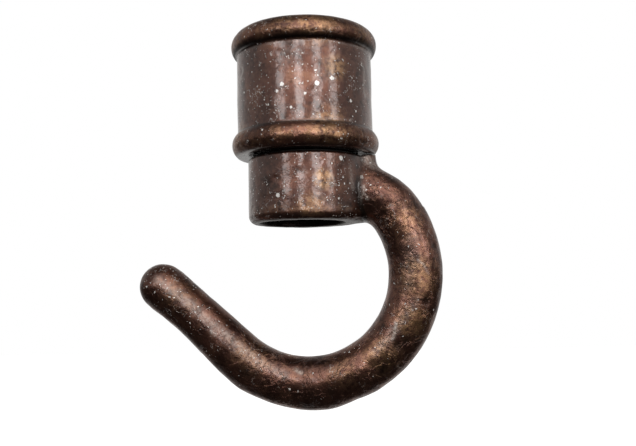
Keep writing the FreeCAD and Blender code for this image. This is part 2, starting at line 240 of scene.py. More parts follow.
# ---------------------------------------------------------------------------------------------------------
# Meshes
# ---------------------------------------------------------------------------------------------------------
def new_piece(name, points, faces, body, nodes):
    """A smooth mesh object from points in millimetres that stands for the CAD nodes and rides on body."""
    mesh = bpy.data.meshes.new(name)
    mesh.from_pydata((np.asarray(points) * MM).tolist(), [], np.asarray(faces).tolist())
    mesh.update()
    mesh.shade_smooth()
    piece = bpy.data.objects.new(name, mesh)
    bpy.context.scene.collection.objects.link(piece)
    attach(piece, body)
    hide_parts(*nodes)
    return piece


def paint(piece, name, amounts):
    """Keep one number per point on the mesh for its material to read."""
    layer = piece.data.attributes.new(name, "FLOAT", "POINT")
    layer.data.foreach_set("value", np.asarray(amounts, np.float32))


def vertex_normals(points, faces):
    quads = points[faces]
    flat = np.cross(quads[:, 2] - quads[:, 0], quads[:, 3] - quads[:, 1])
    normals = np.zeros_like(points)
    for corner in range(4):
        np.add.at(normals, faces[:, corner], flat)
    return normals / np.maximum(np.linalg.norm(normals, axis=1, keepdims=True), 1e-12)


def turned_faces(rows, columns):
    """Quads of a grid of rows around a closed outline by columns around the axis, closed both ways."""
    row = np.arange(rows)[:, None]
    column = np.arange(columns)[None, :]
    after, beside = (row + 1) % rows, (column + 1) % columns
    corners = [(row, column), (row, beside), (after, beside), (after, column)]
    return np.stack([np.broadcast_to(r * columns + c, (rows, columns)).ravel() for r, c in corners], 1)


def run(start, end, step):
    """Points from start up to, but not at, end, about step apart."""
    start, end = np.array(start, float), np.array(end, float)
    count = max(int(round(np.linalg.norm(end - start) / step)), 1)
    return [start + (end - start) * i / count for i in range(count)]


def arc(centre, radius, first, last, step):
    """Points along an arc, angles in degrees, up to but not at its end."""
    count = max(int(round(abs(math.radians(last - first)) * radius / step)), 2)
    angles = np.radians(np.linspace(first, last, count, endpoint=False))
    return [np.array(centre) + radius * np.array([math.cos(a), math.sin(a)]) for a in angles]


def thread_form(radius, z, angle, minor, major, pitch, fade):
    """Radius of a right-handed thread with rounded crests: minor to major, faded in by fade from 0 to 1."""
    turn = (z / pitch - angle / (2 * math.pi)) % 1.0
    wave = np.abs(2 * turn - 1)
    wave = np.clip((wave - 0.12) / 0.76, 0, 1)
    wave = wave * wave * (3 - 2 * wave) * 0.5 + wave * 0.5
    return np.where(fade > 0, radius + (major - minor) * wave * fade, radius)


def socket_points(columns):
    """The barrel: outline points in order, turned round the axis, with the thread cut into the bore."""
    ring = BEAD_REACH - BEAD_RADIUS
    rise = math.degrees(math.acos((BARREL_RADIUS - ring) / BEAD_RADIUS))
    low, high = BARREL_BOTTOM + BEAD_RADIUS - LOWER_CUT, BARREL_TOP - BEAD_RADIUS
    cut = math.degrees(math.asin(1 - LOWER_CUT / BEAD_RADIUS))
    cut_reach = ring + BEAD_RADIUS * math.cos(math.radians(cut))
    lift = BEAD_RADIUS * math.sin(math.radians(rise))
    foot, head = low + lift, high - TOP_CREASE
    outline = []
    outline += run((WEB_HOLE + 0.3, BARREL_BOTTOM), (cut_reach - 0.25, BARREL_BOTTOM), 0.5)
    outline += arc((ring, low), BEAD_RADIUS, 3 - cut, rise - 8, 0.2)
    outline += run((BARREL_RADIUS + 0.06, foot + 0.05), (BARREL_RADIUS, foot + 0.35), 0.12)
    outline += run((BARREL_RADIUS, foot + 0.35), (BARREL_RADIUS, head - 0.4), 0.3)
    outline += run((BARREL_RADIUS, head - 0.4), (BARREL_RADIUS + 0.12, head - 0.1), 0.12)
    outline += run((BARREL_RADIUS + 0.12, head - 0.1), (BARREL_RADIUS + 0.45, head), 0.12)
    outline += arc((ring, high), BEAD_RADIUS, -37, 90, 0.2)
    mouth = THREAD_MINOR + MOUTH_CHAMFER
    outline += run((ring, BARREL_TOP), (mouth + 0.15, BARREL_TOP), 0.35)
    outline += run((mouth + 0.04, BARREL_TOP - 0.05), (THREAD_MINOR, 0.0), 0.12)
    bore_first = len(outline)
    outline += run((THREAD_MINOR, 0.0), (THREAD_MINOR, -THREAD_DEPTH), 0.13)
    bore_last = len(outline)
    outline += run((THREAD_MINOR, -THREAD_DEPTH), (CHAMBER_RADIUS + 0.2, -THREAD_DEPTH), 0.3)
    outline += run((CHAMBER_RADIUS, -THREAD_DEPTH - 0.2), (CHAMBER_RADIUS, WEB_TOP + 0.4), 0.5)
    outline += arc((CHAMBER_RADIUS - 0.4, WEB_TOP + 0.4), 0.4, 0, -90, 0.12)
    outline += run((CHAMBER_RADIUS - 0.4, WEB_TOP), (WEB_HOLE + 0.25, WEB_TOP), 0.5)
    outline += run((WEB_HOLE, WEB_TOP - 0.25), (WEB_HOLE, BARREL_BOTTOM + 0.3), 0.6)
    outline = np.array(outline)
    angle = np.linspace(0, 2 * math.pi, columns, endpoint=False)[None, :]
    radius = np.repeat(outline[:, :1], columns, 1)
    height = np.repeat(outline[:, 1:], columns, 1)
    mouth_rows = slice(bore_first - 10, bore_last + 1)
    z = height[mouth_rows]
    fade = np.clip((z + THREAD_DEPTH) / 1.6, 0, 1)
    bore = np.full_like(z, THREAD_MINOR)
    thread = thread_form(bore, z, angle, THREAD_MINOR, THREAD_MAJOR, THREAD_PITCH, fade)
    radius[mouth_rows] = np.maximum(radius[mouth_rows], thread)
    points = np.stack([radius * np.cos(angle), radius * np.sin(angle), height], -1).reshape(-1, 3)
    outside = np.repeat(outline[:, 0] > 11.2, columns) & (points[:, 2] > BARREL_BOTTOM + 0.05)
    return points, turned_faces(len(outline), columns), outside


def make_socket():
    points, faces, outside = socket_points(SOCKET_COLUMNS)
    normals = vertex_normals(points, faces)
    turn = np.linalg.norm(points[:, :2], axis=1)
    flank = np.clip((turn - 11.2) / 1.5, 0, 1)
    height = cast_surface(points, SEED)
    skin = np.where(outside)[0]
    dents = np.zeros(len(points), np.float32)
    dents[skin] = dimples(points[skin], SEED + 10, 90, (0.3, 1.2), (0.02, 0.07))
    # Painted shade inside the bore.
    grime_and_shade = np.clip((11.0 - turn) / 0.8, 0, 1)
    film_and_highlight = streaked(points, SOCKET_FILM)
    lift = math.sqrt(BEAD_RADIUS**2 - (BARREL_RADIUS - BEAD_REACH + BEAD_RADIUS) ** 2)
    upper_crease = BARREL_TOP - BEAD_RADIUS - TOP_CREASE
    lower_crease = BARREL_BOTTOM + BEAD_RADIUS + lift - LOWER_CUT
    # Grime and painted shade in the creases beside both beads; just off each crease a patchy pale band is a
    # painted highlight.
    for level, side, reach in ((upper_crease, -1, 0.75), (lower_crease, 1, 0.3)):
        away = (points[:, 2] - level) * side
        share = (away + 0.1) / np.where(away < -0.1, reach, 0.3)
        grime_and_shade = np.maximum(grime_and_shade, np.exp(-(share**2)) * outside)
        patchy = np.clip(0.25 + value_noise(points, 2.2, SEED + 62), 0, 1)
        film_and_highlight = np.maximum(film_and_highlight, 0.5 * patchy * np.exp(-(((away - 0.6) / 0.25) ** 2)) * outside)
    # Painted shade on the underside of the lower bead.
    under = np.clip((BARREL_BOTTOM + 0.7 - points[:, 2]) / 0.8, 0, 1)
    grime_and_shade = np.maximum(grime_and_shade, under)
    points = points + normals * ((height + dents - 0.02) * flank * outside)[:, None]
    piece = new_piece("socket_cast", points, faces, "socket", ["socket_barrel"])
    paint(piece, "grime_and_shade", grime_and_shade)
    # Golden rub on the bead crests and the top: partly wear, partly painted highlight.
    crest = np.clip((turn - BEAD_REACH + 1.1) / 0.9, 0, 1)
    crest += np.clip((points[:, 2] - BARREL_TOP + 1.6) / 1.2, 0, 1)
    crest = np.clip(crest, 0, 1) * outside
    paint(piece, "rub_and_highlight", rubbed_and_highlit(points, SOCKET_RUBS_AND_HIGHLIGHTS, 0.3 * crest, SEED + 60))
    paint(piece, "relief", 0.22 + 0.6 * crest)
    paint(piece, "film_and_highlight", film_and_highlight)
    return piece


def rubbed_and_highlit(points, places, start, seed):
    """How much golden rub and painted highlight lies at each point: round each place, and on the crests that
    start gives.
    """
    rub_and_highlight = start * (0.6 + 0.6 * value_noise(points, 3.0, seed))
    for centre, reach, amount in places:
        away = ((points - np.array(centre)) ** 2).sum(1) / reach**2
        rub_and_highlight = np.maximum(rub_and_highlight, amount * np.exp(-away**2))
    return np.clip(rub_and_highlight, 0, 1)


def streaked(points, lines):
    """How much pale film, painted highlight or painted shade lies at each point, near lines given by their
    corners.
    """
    total = np.zeros(len(points))
    for corners, width, amount in lines:
        for start, end in zip(corners[:-1], corners[1:]):
            start, along = np.array(start), np.subtract(end, start)
            share = np.clip((points - start) @ along / (along @ along), 0, 1)
            away = ((points - start - share[:, None] * along) ** 2).sum(1) / width**2
            total = np.maximum(total, amount * np.exp(-away))
    return total


def centreline():
    """Points along the rod's centreline, (x, z), and the rod's radius at each."""
    bend = np.array([0.0, BEND_Z])
    inset = BEND_RADIUS - SHOULDER_RADIUS
    lean = math.radians(SHOULDER_ANGLE)
    shoulder = bend + inset * np.array([math.cos(lean), math.sin(lean)])
    angles = np.radians(np.linspace(90, SHOULDER_ANGLE, 60, endpoint=False))
    path = [shoulder + SHOULDER_RADIUS * np.array([math.cos(a), math.sin(a)]) for a in angles]
    radii = [SHOULDER_ROD] * len(angles)
    angles = np.radians(np.linspace(SHOULDER_ANGLE, -BEND_END, 400, endpoint=False))
    path += [bend + BEND_RADIUS * np.array([math.cos(a), math.sin(a)]) for a in angles]
    radii += list(np.interp(np.degrees(-angles), [-SHOULDER_ANGLE, 60, BEND_END], BEND_ROD))
    last = math.radians(-BEND_END)
    outward = np.array([math.cos(last), math.sin(last)])
    along = np.array([math.sin(last), -math.cos(last)])
    start = bend + BEND_RADIUS * outward
    share = np.linspace(0, 1, 160)
    bow = ARM_BOW * (2.2 * share**3 - 1.2 * share)
    path += [start + along * ARM_LENGTH * s + outward * b for s, b in zip(share, bow)]
    radii += list(np.interp(share, [0, 0.3, 0.58, 0.8, 0.93, 1], ARM_ROD))
    return np.array(path), np.array(radii)


def smooth_union(a, b, reach):
    blend = np.clip(reach - np.abs(a - b), 0, None) / reach
    return np.minimum(a, b) - blend * blend * blend * reach / 6.0


def smooth_cut(a, b, reach):
    return -smooth_union(-a, b, reach)


def turned_box(radius, z, outer, low, high, low_edge, high_edge):
    """Distance to a solid turned cylinder with its lower and upper edges rounded."""
    edge = np.where(z < (low + high) / 2, low_edge, high_edge)
    over = np.stack([radius - outer, np.abs(z - (low + high) / 2) - (high - low) / 2]) + edge
    return np.minimum(over.max(0), 0) + np.linalg.norm(np.maximum(over, 0), axis=0) - edge


def rounded_block(x, y, z, middle, half, edge):
    """Distance to a block with all its edges rounded."""
    over = [np.abs(v - m) - h + edge for v, m, h in zip((x, y, z), middle, half)]
    over = np.stack(np.broadcast_arrays(*over))
    return np.minimum(over.max(0), 0) + np.linalg.norm(np.maximum(over, 0), axis=0) - edge


class Lattice:
    """A regular lattice of points that a shape's distance is worked out on, then skinned as quads."""

    def __init__(self, low, high, cell, margin=1.0):
        self.low = np.array(low, float) - margin
        self.cell = cell
        count = np.ceil((np.array(high, float) + margin - self.low) / cell).astype(int) + 1
        axes = [self.low[i] + cell * np.arange(count[i]) for i in range(3)]
        self.x, self.y, self.z = axes[0][:, None, None], axes[1][None, :, None], axes[2][None, None, :]
        self.shape = tuple(count)
        self.turn = np.broadcast_to(np.hypot(self.x, self.y), self.shape)
        self.level = np.broadcast_to(self.z, self.shape)

    def sample(self, field, points):
        """The field at points, by linear interpolation."""
        scaled = (points - self.low) / self.cell
        whole = np.clip(np.floor(scaled).astype(int), 0, np.array(field.shape) - 2)
        part = scaled - whole
        total = np.zeros(len(points))
        for dx in (0, 1):
            for dy in (0, 1):
                for dz in (0, 1):
                    weight = (
                        (part[:, 0] if dx else 1 - part[:, 0])
                        * (part[:, 1] if dy else 1 - part[:, 1])
                        * (part[:, 2] if dz else 1 - part[:, 2])
                    )
                    total += weight * field[whole[:, 0] + dx, whole[:, 1] + dy, whole[:, 2] + dz]
        return total

    def skin(self, field):
        """Points and quads of the surface where the field is zero."""
        grid = openvdb.FloatGrid(1.0)
        grid.copyFromArray(np.ascontiguousarray(field, np.float32))
        points, faces = grid.convertToQuads(isovalue=0.0)
        points = np.array(points, float) * self.cell + self.low
        faces = np.array(faces, int)
        normals = vertex_normals(points, faces)
        if self.sample(field, points + 0.5 * self.cell * normals).mean() < 0:
            faces = faces[:, ::-1]
            normals = -normals
        for _ in range(2):
            points = points - 0.7 * normals * self.sample(field, points)[:, None]
        return points, faces


def rod_distance(lattice):
    """Distance to the bent rod, from the distance to its centreline in the hook's own plane."""
    path, radii = centreline()
    flat = np.stack(np.meshgrid(lattice.x.ravel(), lattice.z.ravel(), indexing="ij"), -1).reshape(-1, 2)
    across, thick = np.empty(len(flat)), np.empty(len(flat))
    step = 4000
    for first in range(0, len(flat), step):
        some = flat[first:first + step]
        gap = np.linalg.norm(some[:, None, :] - path[None, :, :], axis=2)
        best = np.argmin(gap - radii[None, :], axis=1)
        across[first:first + step] = gap[np.arange(len(some)), best]
        thick[first:first + step] = radii[best]
    shape = (lattice.shape[0], 1, lattice.shape[2])
    return np.sqrt(across.reshape(shape) ** 2 + lattice.y**2) - thick.reshape(shape)


def hook_distance(lattice):
    """Distance to the hook casting, and how deep each place lies in the root where cup and rod meet."""
    rod = rod_distance(lattice)
    turn, level = lattice.turn, lattice.level
    cup = turned_box(turn, level, CUP_RADIUS, CUP_RIM, CROWN_TOP, RIM_EDGE, TOP_EDGE)
    solid = smooth_union(cup, rod, ROOT_BLEND)
    root = np.minimum(cup, rod) - solid
    past_end = lattice.z - np.clip(lattice.z, CROWN_TOP - NECK_DEPTH, CROWN_TOP + 1.0)
    neck = np.sqrt((lattice.x - NECK_X) ** 2 + (lattice.y * 0.8) ** 2 + past_end**2) - NECK_RADIUS
    solid = smooth_union(solid, neck, NECK_BLEND)
    ring = BEAD_REACH - BEAD_RADIUS
    bead_level = BARREL_BOTTOM - LOWER_CUT + BEAD_RADIUS
    bead = BEAD_RADIUS + BEAD_CLEARANCE - np.hypot(turn - ring, level - bead_level)
    bead = np.minimum(bead, level - BARREL_BOTTOM + BEAD_CLEARANCE)
    solid = np.maximum(solid, np.where(turn < ring, level - CROWN_TOP, bead))
    aside = np.hypot(lattice.x + CUP_BORE_OFFSET, lattice.y)
    aside = np.broadcast_to(aside, lattice.shape)
    crown_under = CROWN_TOP - CROWN_THICKNESS
    hollow = turned_box(aside, level, CUP_BORE, CUP_RIM - 6, crown_under, 0.0, CUP_BORE_CORNER)
    solid = smooth_cut(solid, hollow, CUP_BORE_EDGE)
    hole = np.maximum(turn - SCREW_HOLE, CUP_RIM - level)
    return np.maximum(solid, -hole), root


def uneven_bend(points, normals):
    """The small flats and swellings along the outside of the bend, in millimetres."""
    away = points[:, [0, 2]] - (0.0, BEND_Z)
    reach = np.linalg.norm(away, axis=1)
    angle = np.degrees(np.arctan2(away[:, 1], away[:, 0]))
    outward = (normals[:, [0, 2]] * away).sum(1) / np.maximum(reach, 1e-6)
    stations = [-140, -131, -122, -112, -101, -91, -82, -74, -69, -60, -40, 0, 30, 42]
    swelling = [0, -0.14, 0.1, -0.03, 0.14, 0.36, 0.46, 0.12, -0.08, 0.16, 0.1, 0.14, 0.12, 0]
    on_rod = (reach > BEND_RADIUS - 6) & (reach < BEND_RADIUS + 7) & (points[:, 2] < CUP_RIM + 2.5)
    return np.interp(angle, stations, swelling, 0, 0) * np.clip(outward, 0, 1) ** 3 * on_rod


def make_hook():
    lattice = Lattice(HOOK_LOW, HOOK_HIGH, HOOK_CELL)
    field, root = hook_distance(lattice)
    points, faces = lattice.skin(field)
    normals = vertex_normals(points, faces)
    turn = np.linalg.norm(points[:, :2], axis=1)
    aside = np.hypot(points[:, 0] + CUP_BORE_OFFSET, points[:, 1])
    inside = (aside < CUP_BORE + 0.5) & (points[:, 2] > CUP_RIM - 0.3)
    seat = (points[:, 2] > CROWN_TOP - 0.25) | inside
    # Painted shade in the root where cup and rod meet, inside the cup's hollow and on the lower face of its
    # rim.
    low_root = np.clip((CROWN_TOP - 2.5 - points[:, 2]) / 2.5, 0.2, 1)
    grime_and_shade = np.clip(lattice.sample(root, points) / 0.3, 0, 1) * low_root
    grime_and_shade = np.maximum(grime_and_shade, np.clip((CUP_BORE + 0.8 - aside) / 0.6, 0, 1) * inside)
    at_rim = (turn < CUP_RADIUS - 0.2) & (points[:, 2] > CUP_RIM - 0.6)
    lip = np.clip((CUP_RIM + 0.55 - points[:, 2]) / 0.4, 0, 1) * at_rim
    grime_and_shade = np.maximum(grime_and_shade, 0.9 * lip)
    height = cast_surface(points, SEED + 20) + 0.02
    height += 0.03 * value_noise(points, 1.7, SEED + 25)
    height += dimples(points, SEED + 30, 220, (0.3, 1.4), (0.02, 0.09))
    height += uneven_bend(points, normals)
    # Each pocket is a dent, also painted darker.
    for centre, reach, depth in POCKETS:
        pocket = np.exp(-(((points - np.array(centre)) / reach) ** 2).sum(1))
        height -= depth * pocket
        grime_and_shade = np.maximum(grime_and_shade, 0.85 * pocket)
    # Patches painted darker.
    for centre, reach, amount in HOOK_DARKS:
        away = ((points - np.array(centre)) ** 2).sum(1) / reach**2
        grime_and_shade = np.maximum(grime_and_shade, amount * np.exp(-away**2))
    # A line of painted shade below the rod's painted highlight line.
    grime_and_shade = np.maximum(grime_and_shade, streaked(points, HOOK_PAINTED_SHADE_LINES))
    height[seat] *= 0.15
    points = points + normals * height[:, None]
    piece = new_piece("hook_cast", points, faces, "hook", ["hook_casting"])
    paint(piece, "grime_and_shade", grime_and_shade)
    # A golden band round the cup above its rim is a painted highlight; the listed places are wear and
    # painted highlights.
    rim = np.exp(-((points[:, 2] - CUP_RIM - 1.9) / 0.8) ** 2) * (np.abs(turn - CUP_RADIUS) < 1)
    paint(piece, "rub_and_highlight", rubbed_and_highlit(points, HOOK_RUBS_AND_HIGHLIGHTS, 0.4 * rim, SEED + 61))
    away = np.hypot(turn, np.clip(CUP_RIM - points[:, 2], 0, None))
    rod = np.clip((away - CUP_RADIUS - 0.3) / 2.0, 0, 1)
    arm = np.clip((-points[:, 0] - 8.0) / 8.0, 0, 1) * (points[:, 2] < CUP_RIM)
    paint(piece, "relief", np.maximum(0.25 + rod * (0.75 - 0.45 * arm), np.maximum(lip, inside)))
    paint(piece, "film_and_highlight", streaked(points, HOOK_FILM_AND_HIGHLIGHTS))
    return piece


def make_bolt():
    """The pivot bolt: slotted round head, plain journal and screw."""
    lattice = Lattice(BOLT_LOW, BOLT_HIGH, FASTENER_CELL, 0.5)
    turn, level = lattice.turn, lattice.level
    top, tip = BOLT_HIGH[2], BOLT_LOW[2]
    under_head = top - HEAD_HEIGHT
    head = turned_box(turn, level, HEAD_RADIUS, under_head, top, 0.15, HEAD_EDGE)
    journal = turned_box(turn, level, JOURNAL_RADIUS, CROWN_TOP, top - 1, 0.1, 0.1)
    angle = np.broadcast_to(np.arctan2(lattice.y, lattice.x), lattice.shape)
    root = np.full(lattice.shape, SCREW_MINOR)
    thread = thread_form(root, level, angle, SCREW_MINOR, SCREW_MAJOR, SCREW_PITCH, 1.0)
    point = np.clip(level - tip, 0, 0.6)
    ends = np.maximum(tip - level, level - top + 1)
    screw = np.maximum(turn - np.minimum(thread, 2.3 + point * 1.2), ends)
    solid = np.minimum(np.minimum(head, journal), screw * 0.8)
    slot = rounded_block(lattice.x, lattice.y, lattice.z, (0, 0, top), (SLOT_WIDTH / 2, 9, SLOT_DEPTH), 0.12)
    points, faces = lattice.skin(np.maximum(solid, -slot))
    points += 0.012 * vertex_normals(points, faces) * value_noise(points, 1.5, SEED + 40)[:, None]
    return new_piece("bolt_turned", points, faces, "hook", ["pivot_bolt"])


def make_nut():
    """The hexagon nut with its chamfered corners and threaded hole."""
    low, high = node_box("hex_nut")
    lattice = Lattice(low, high, FASTENER_CELL, 0.5)
    turn, level = lattice.turn, lattice.level
    sides = []
    for side in range(3):
        angle = math.radians(60 * side)
        sides.append(np.abs(lattice.x * math.cos(angle) + lattice.y * math.sin(angle)) - NUT_FLATS / 2)
    hexagon = np.max(np.stack(np.broadcast_arrays(*sides)), 0)
    ends = np.maximum(low[2] - level, level - high[2])
    ends = np.broadcast_to(ends, lattice.shape)
    from_end = np.minimum(level - low[2], high[2] - level)
    chamfer = (turn - NUT_FLATS / 2 + 0.15) * 0.5 - from_end * 0.87
    angle = np.broadcast_to(np.arctan2(lattice.y, lattice.x), lattice.shape)
    root = np.full(lattice.shape, NUT_MINOR)
    bore = thread_form(root, level, angle, NUT_MINOR, NUT_MAJOR, SCREW_PITCH, 1.0)
    bore = np.maximum(bore, NUT_MOUTH - from_end)
    solid = np.maximum(np.maximum(hexagon, ends), np.maximum(chamfer, (bore - turn) * 0.8))
    points, faces = lattice.skin(solid)
    return new_piece("nut_pressed", points, faces, "hook", ["hex_nut"])


def make_washer(name, node, edge, seed):
    """A flat washer with softened edges and a slightly wavy face."""
    low, high = node_box(node)
    outer = high[0]
    inner = WASHER_BORES[node]
    middle = (low[2] + high[2]) / 2
    half = (high[2] - low[2]) / 2
    edge = min(edge, half * 0.8)
    outline = []
    outline += run((inner + edge, middle - half), (outer - edge, middle - half), 0.4)
    outline += arc((outer - edge, middle - half + edge), edge, -90, 0, edge / 3)
    outline += arc((outer - edge, middle + half - edge), edge, 0, 90, edge / 3)
    outline += run((outer - edge, middle + half), (inner + edge, middle + half), 0.4)
    outline += arc((inner + edge, middle + half - edge), edge, 90, 180, edge / 3)
    outline += arc((inner + edge, middle - half + edge), edge, 180, 270, edge / 3)
    outline = np.array(outline)
    columns = WASHER_COLUMNS
    angle = np.linspace(0, 2 * math.pi, columns, endpoint=False)
    points = np.stack([
        np.outer(outline[:, 0], np.cos(angle)),
        np.outer(outline[:, 0], np.sin(angle)),
        np.repeat(outline[:, 1:], columns, 1),
    ], -1).reshape(-1, 3)
    points[:, 2] += 0.01 * value_noise(points, 2.5, seed)
    return new_piece(name, points, turned_faces(len(outline), columns), body_of(node), [node])


def body_of(node):
    """The body that the record puts the node on."""
    bodies = frame["record"]["behaviour"]["bodies"]
    return next(body for body, nodes in bodies.items() if node in nodes)


# ---------------------------------------------------------------------------------------------------------
# Materials
# ---------------------------------------------------------------------------------------------------------
class Shader:
    """A node material that takes its pattern from the object's own coordinates, in metres."""

    def __init__(self, name):
        self.material = bpy.data.materials.new(name)
        self.material.use_nodes = True
        self.tree = self.material.node_tree
        self.tree.nodes.clear()
        self.place = self.add("ShaderNodeTexCoord").outputs["Object"]
        self.bsdf = self.add("ShaderNodeBsdfPrincipled")
        output = self.add("ShaderNodeOutputMaterial")
        self.link(self.bsdf.outputs["BSDF"], output.inputs["Surface"])

    def add(self, kind, **settings):
        node = self.tree.nodes.new(kind)
        for key, setting in settings.items():
            setattr(node, key, setting)
        return node

    def link(self, source, target):
        self.tree.links.new(source, target)

    def fill(self, socket, thing):
        if isinstance(thing, bpy.types.NodeSocket):
            self.link(thing, socket)
        else:
            socket.default_value = thing

    def stretched(self, scale, turn=(0, 0, 0)):
        node = self.add("ShaderNodeMapping")
        self.link(self.place, node.inputs["Vector"])
        node.inputs["Scale"].default_value = scale
        node.inputs["Rotation"].default_value = turn
        return node.outputs["Vector"]

    def noise(self, size_mm, detail=3.0, rough=0.55, vector=None, warp=0.0):
        node = self.add("ShaderNodeTexNoise")
        self.link(vector or self.place, node.inputs["Vector"])
        node.inputs["Scale"].default_value = 1.0 / (size_mm * MM)
        node.inputs["Detail"].default_value = detail
        node.inputs["Roughness"].default_value = rough
        node.inputs["Distortion"].default_value = warp
        return node.outputs["Fac"]

    def noise_colour(self, size_mm, detail=2.0):
        node = self.add("ShaderNodeTexNoise")
        self.link(self.place, node.inputs["Vector"])
        node.inputs["Scale"].default_value = 1.0 / (size_mm * MM)
        node.inputs["Detail"].default_value = detail
        return node.outputs["Color"]

    def shifted(self, shift, reach_mm):
        node = self.add("ShaderNodeVectorMath", operation="MULTIPLY_ADD")
        self.link(shift, node.inputs[0])
        node.inputs[1].default_value = [reach_mm * MM] * 3
        self.link(self.place, node.inputs[2])
        return node.outputs["Vector"]

    def cells(self, size_mm):
        node = self.add("ShaderNodeTexVoronoi", feature="SMOOTH_F1")
        self.link(self.place, node.inputs["Vector"])
        node.inputs["Scale"].default_value = 1.0 / (size_mm * MM)
        return node.outputs["Distance"]

    def math(self, operation, a, b=0.0, c=0.0):
        node = self.add("ShaderNodeMath", operation=operation)
        for socket, thing in zip(node.inputs, (a, b, c)):
            self.fill(socket, thing)
        return node.outputs[0]

    def between(self, value, low, high, to_low=0.0, to_high=1.0):
        node = self.add("ShaderNodeMapRange", interpolation_type="SMOOTHSTEP")
        node.clamp = True
        for key, thing in zip(("Value", "From Min", "From Max", "To Min", "To Max"),
                              (value, low, high, to_low, to_high)):
            self.fill(node.inputs[key], thing)
        return node.outputs["Result"]

    def mix(self, share, first, second):
        node = self.add("ShaderNodeMix", data_type="RGBA", blend_type="MIX")
        self.fill(node.inputs["Factor"], share)
        sockets = [s for s in node.inputs if s.type == "RGBA"]
        for socket, thing in zip(sockets, (first, second)):
            self.fill(socket, thing if isinstance(thing, bpy.types.NodeSocket) else (*thing, 1.0))
        return [s for s in node.outputs if s.type == "RGBA"][0]

    def bump(self, height, distance_mm, normal=None):
        node = self.add("ShaderNodeBump")
        node.inputs["Strength"].default_value = 1.0
        node.inputs["Distance"].default_value = distance_mm * MM
        self.link(height, node.inputs["Height"])
        if normal is not None:
            self.link(normal, node.inputs["Normal"])
        return node.outputs["Normal"]


def specks(shader, vector, size_mm, reach, share):
    """Small irregular spots, one in some of the cells: reach in cells, share of the cells from 0 to 1."""
    node = shader.add("ShaderNodeTexVoronoi", feature="F1")
    shader.link(vector, node.inputs["Vector"])
    node.inputs["Scale"].default_value = 1.0 / (size_mm * MM)
    pick = shader.add("ShaderNodeSeparateColor")
    shader.link(node.outputs["Color"], pick.inputs["Color"])
    chosen = shader.math("LESS_THAN", pick.outputs["Red"], share)
    wide = shader.math("MULTIPLY_ADD", pick.outputs["Green"], reach * 0.8, reach * 0.35)
    spot = shader.math("LESS_THAN", node.outputs["Distance"], wide)
    return shader.math("MULTIPLY", spot, chosen)


def chips(shader, vector, places):
    """Pale chips at the given places and sizes, in millimetres."""
    total = 0.0
    for centre, size in places:
        node = shader.add("ShaderNodeVectorMath", operation="DISTANCE")
        shader.link(vector, node.inputs[0])
        node.inputs[1].default_value = [v * MM for v in centre]
        total = shader.math("MAXIMUM", total, shader.math("LESS_THAN", node.outputs["Value"], size * MM))
    return total


